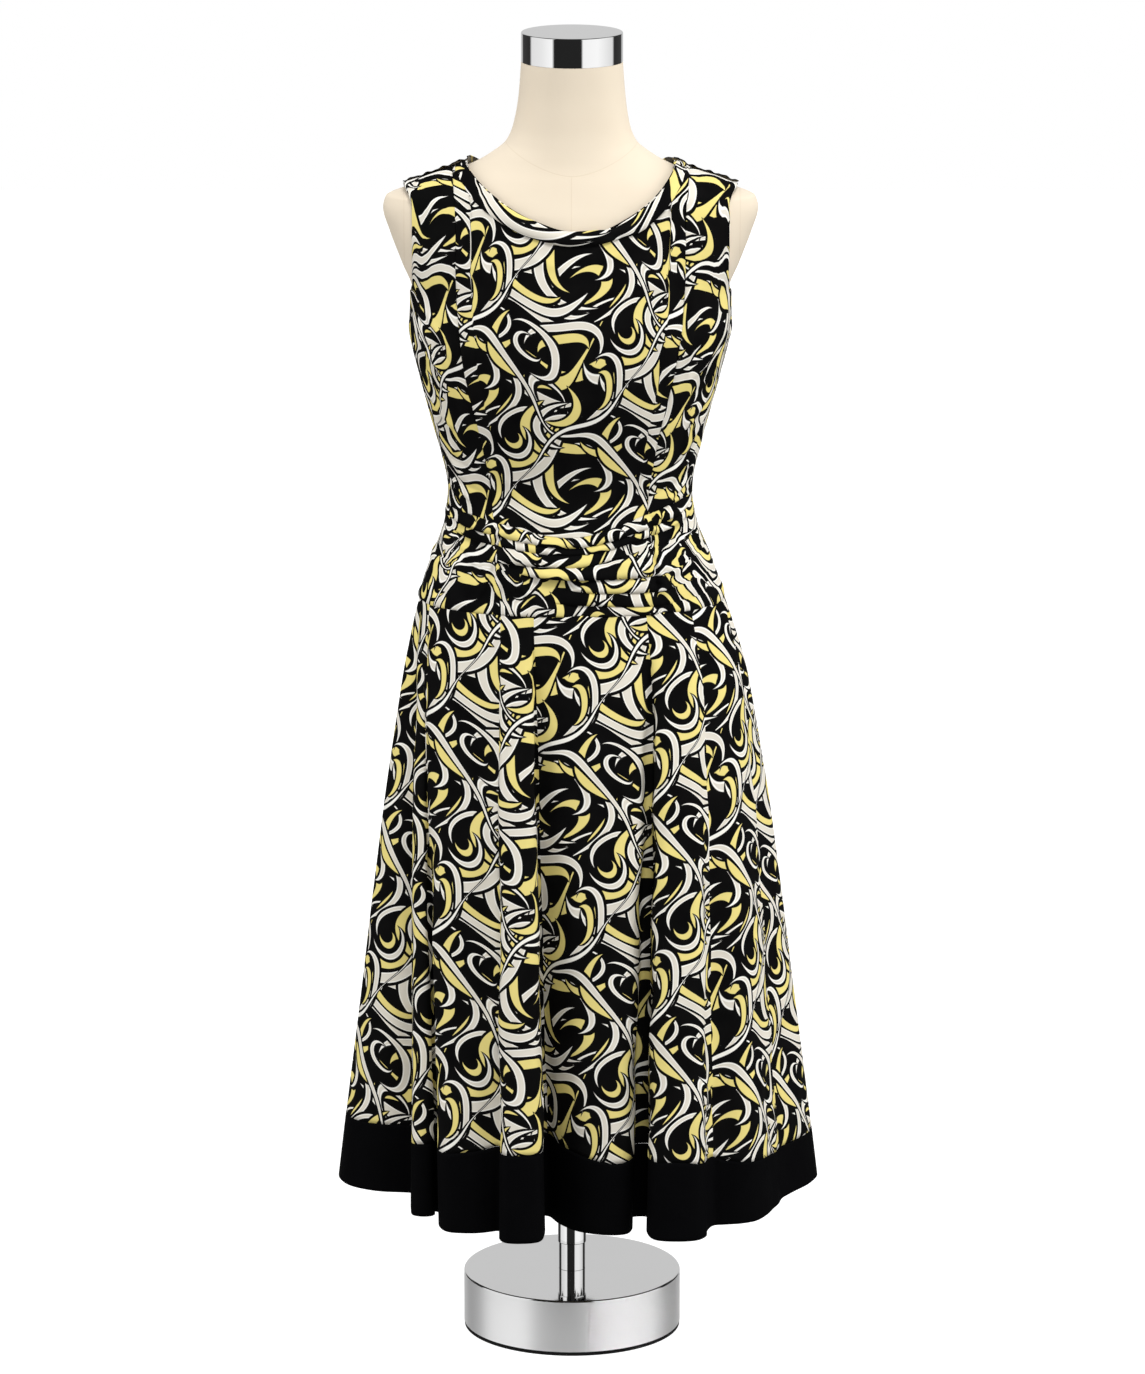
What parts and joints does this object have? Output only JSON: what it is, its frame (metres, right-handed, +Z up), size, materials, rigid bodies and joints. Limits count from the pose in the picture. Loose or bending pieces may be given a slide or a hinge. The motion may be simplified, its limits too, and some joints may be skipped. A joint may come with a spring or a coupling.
{
  "type": "sleeveless flared dress on a dress form",
  "caption": "Sleeveless jersey dress with scoop neck, gathered waist and flared, fold-hung skirt with a plain hem band, on a limbless form with a telescoping round-base stand.",
  "frame": {"origin": "centre of the base's underside, on the floor", "axes": "+Z up the pole, -Y the way the dress faces, -X the side drawn on the left in a front view"},
  "size_m": [0.6388, 0.5666, 1.743],
  "materials": {
    "printed_jersey": "smooth knit, printed cream and pale yellow on black",
    "black_jersey": "smooth plain black knit",
    "form_cover": "matt ivory stretch cover over foam",
    "chrome": "polished"
  },
  "bodies": {
    "stand": {"base": "chrome", "pole_inner": "chrome"},
    "figure": {"pole_outer": "chrome", "form_torso": "form_cover", "neck_cap": "chrome", "front_centre": "printed_jersey", "front_side_left": "printed_jersey", "front_side_right": "printed_jersey", "back": "printed_jersey", "neck_fold": "printed_jersey", "midriff": "printed_jersey", "skirt_front": "printed_jersey", "skirt_back": "printed_jersey", "hem_band_front": "black_jersey", "hem_band_back": "black_jersey"}
  },
  "joints": [
    {"name": "pole_slide", "type": "slide", "parent": "stand", "child": "figure", "axis": [0, 0, 1], "range_m": [-0.034, 0.2]}
  ]
}
